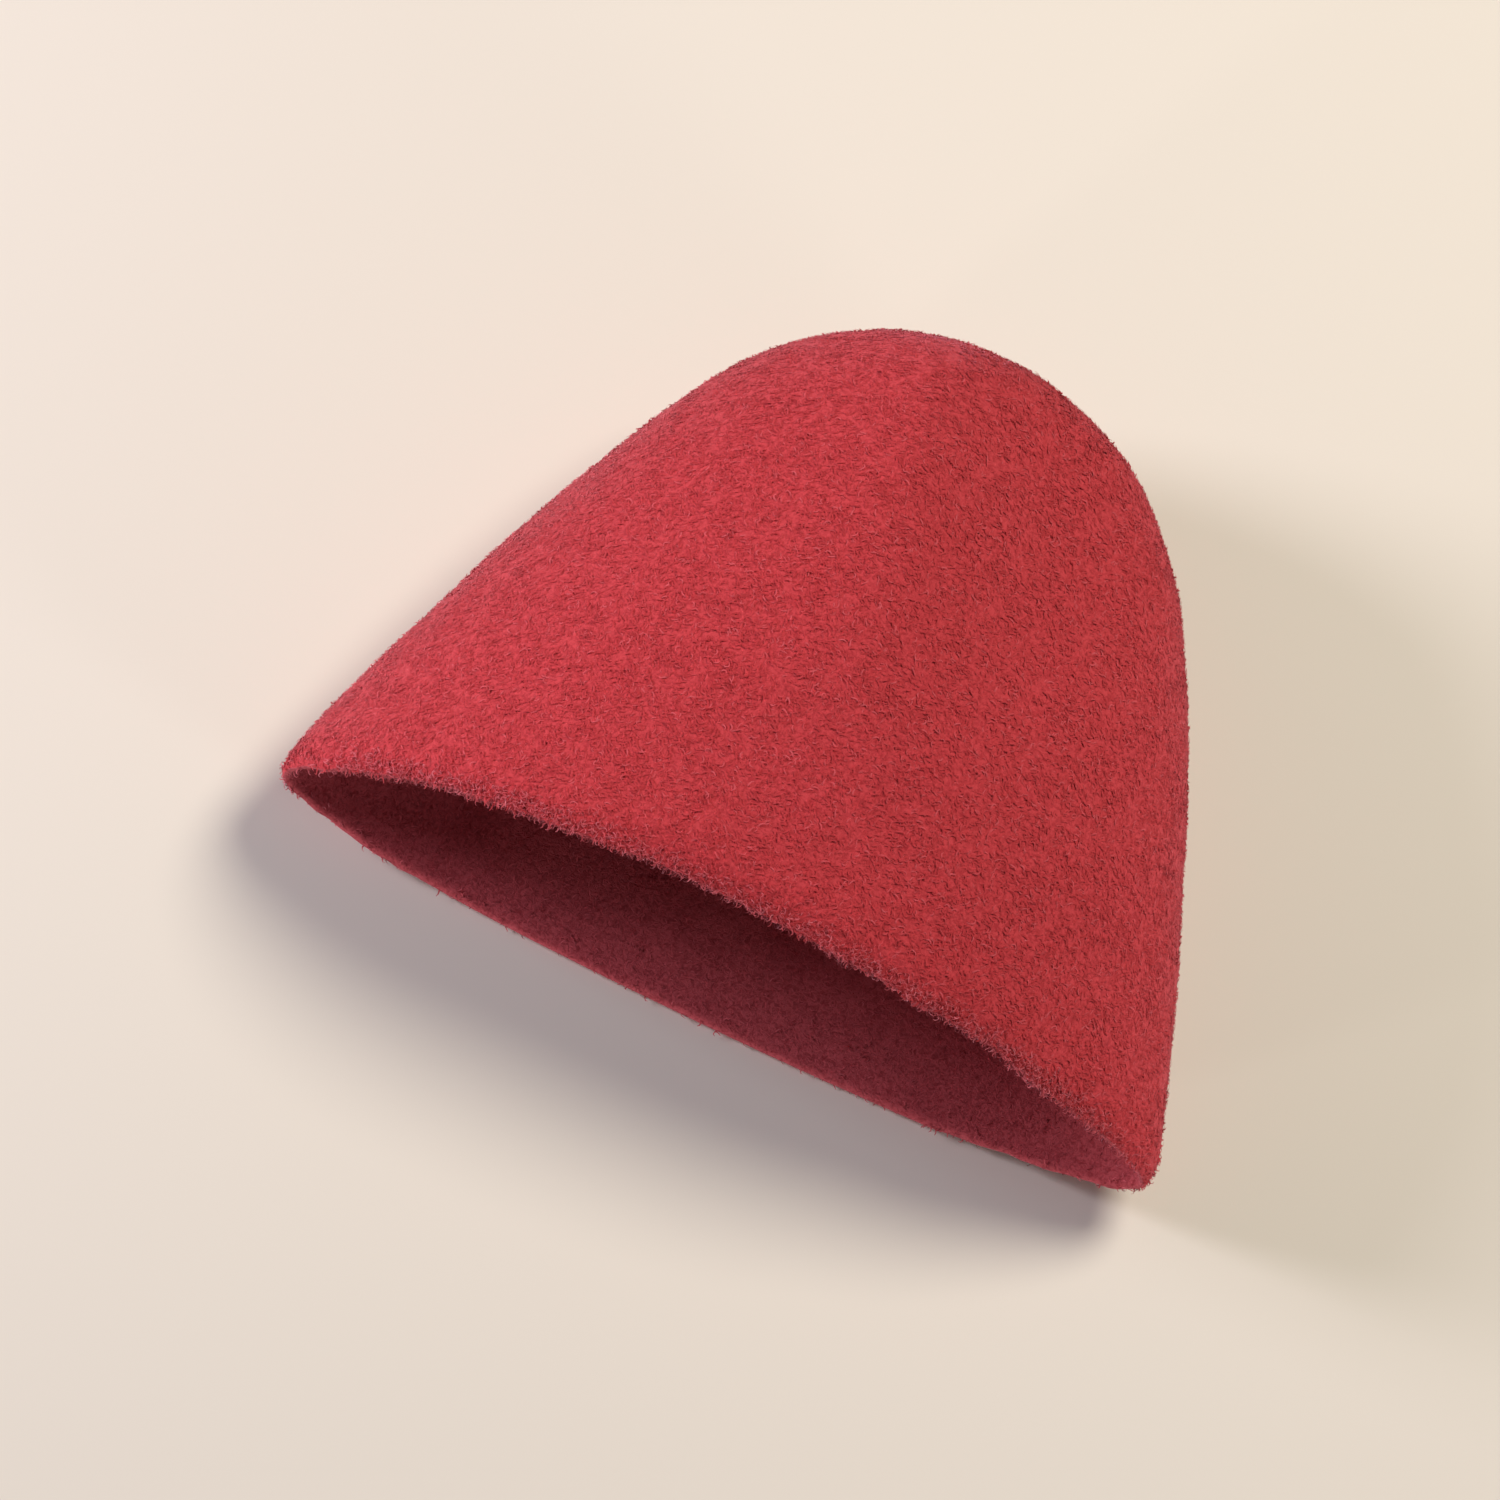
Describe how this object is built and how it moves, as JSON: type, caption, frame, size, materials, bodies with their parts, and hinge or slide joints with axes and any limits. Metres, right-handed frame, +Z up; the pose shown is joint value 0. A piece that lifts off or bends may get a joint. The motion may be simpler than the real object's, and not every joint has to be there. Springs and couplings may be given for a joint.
{
  "type": "felted wool cap",
  "caption": "Brimless cone-shaped cap of thick fulled wool, soft and hollow, lying on its back with its opening for the head to one side.",
  "frame": {"origin": "middle of the lying cap's footprint, on the surface it lies on", "axes": "+Z up from the surface, +Y from the rim to the crown, -Y out of the opening for the head, +X across the flattened rim"},
  "size_m": [0.2604, 0.1982, 0.0981],
  "materials": {
    "red_wool_felt": "thick fulled wool felt with a short raised nap, matt, raspberry red"
  },
  "bodies": {
    "root": {"felt_cap": "red_wool_felt"}
  },
  "joints": []
}
